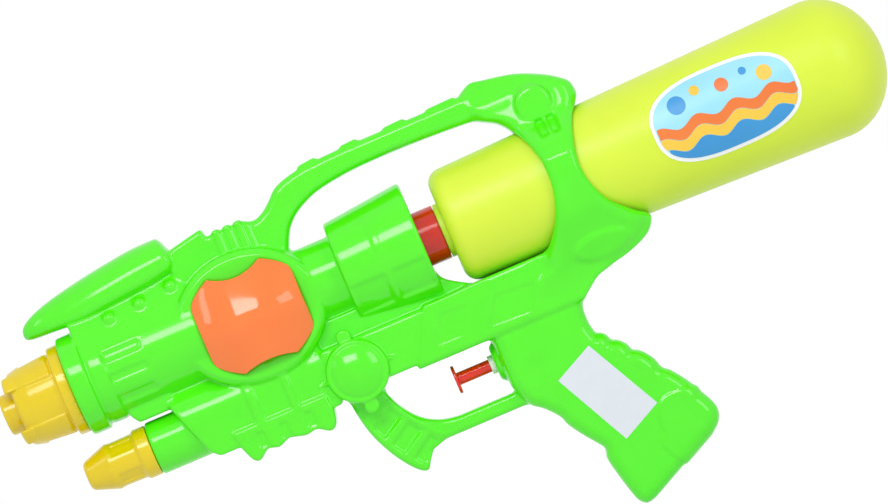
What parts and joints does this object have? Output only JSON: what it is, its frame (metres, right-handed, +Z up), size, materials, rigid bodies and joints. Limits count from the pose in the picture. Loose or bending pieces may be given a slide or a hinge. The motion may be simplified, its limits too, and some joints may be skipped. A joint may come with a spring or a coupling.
{
  "type": "water squirter",
  "caption": "Toy water pistol: two-part moulded body with carry handle and tank strap, push-rod trigger pump in the grip, check valves, hoses and a screw-on bottle tank.",
  "frame": {"origin": "palm of the grip, on the middle plane between the two casing halves", "axes": "+Z up with the barrel level, -X towards the muzzle along the barrel and tank axis, -Y the left side"},
  "size_m": [0.4086, 0.0632, 0.1954],
  "materials": {
    "green_body": "glossy injection-moulded polystyrene",
    "orange_dome": "glossy injection-moulded polystyrene",
    "yellow_nozzle": "glossy injection-moulded plastic",
    "red_part": "glossy injection-moulded plastic",
    "tank_bottle": "satin blow-moulded polyethylene, slightly see-through",
    "white_part": "natural injection-moulded plastic",
    "black_rubber": "matt rubber",
    "clear_hose": "milky soft PVC hose",
    "steel": "bright zinc-plated steel"
  },
  "bodies": {
    "casing": {"left_casing": "green_body", "right_casing": "green_body", "left_dome": "orange_dome", "right_dome": "orange_dome", "main_nozzle": "yellow_nozzle", "lower_nozzle": "yellow_nozzle", "tank_socket": "red_part", "jet_insert": "white_part", "pump_cylinder": "white_part", "pump_gland": "white_part", "valve_block": "white_part", "dip_tube": "clear_hose", "suction_hose": "clear_hose", "delivery_hose": "clear_hose", "return_spring": "steel", "casing_screw_1": "steel", "casing_screw_2": "steel", "casing_screw_3": "steel", "casing_screw_4": "steel", "casing_screw_5": "steel", "casing_screw_6": "steel", "casing_screw_7": "steel", "casing_screw_8": "steel"},
    "trigger": {"trigger_plunger": "red_part", "piston": "white_part", "piston_seal": "black_rubber"},
    "tank_turn": {"tank_washer": "black_rubber"},
    "bottle": {"tank": "tank_bottle"},
    "inlet_valve": {"inlet_ball": "steel"},
    "outlet_valve": {"outlet_ball": "steel"}
  },
  "joints": [
    {"name": "trigger_pull", "type": "slide", "parent": "casing", "child": "trigger", "axis": [1, 0, 0], "range_m": [0, 0.01], "stiffness_N_per_m": 250, "springref_m": -0.006, "deforming": ["return_spring"]},
    {"name": "tank_unscrew", "type": "hinge", "parent": "casing", "child": "tank_turn", "pos_m": [-0.0385, 0, 0.096], "axis": [1, 0, 0], "range_deg": [0, 900]},
    {"name": "tank_advance", "type": "slide", "parent": "tank_turn", "child": "bottle", "axis": [1, 0, 0], "range_m": [0, 0.0075]},
    {"name": "inlet_lift", "type": "slide", "parent": "casing", "child": "inlet_valve", "axis": [0, 0, 1], "range_m": [0, 0.0012]},
    {"name": "outlet_lift", "type": "slide", "parent": "casing", "child": "outlet_valve", "axis": [0, 0, 1], "range_m": [0, 0.0012]}
  ],
  "couplings": [
    {"joint": "tank_advance", "follows": "tank_unscrew", "m_per_rad": 0.00047746}
  ]
}
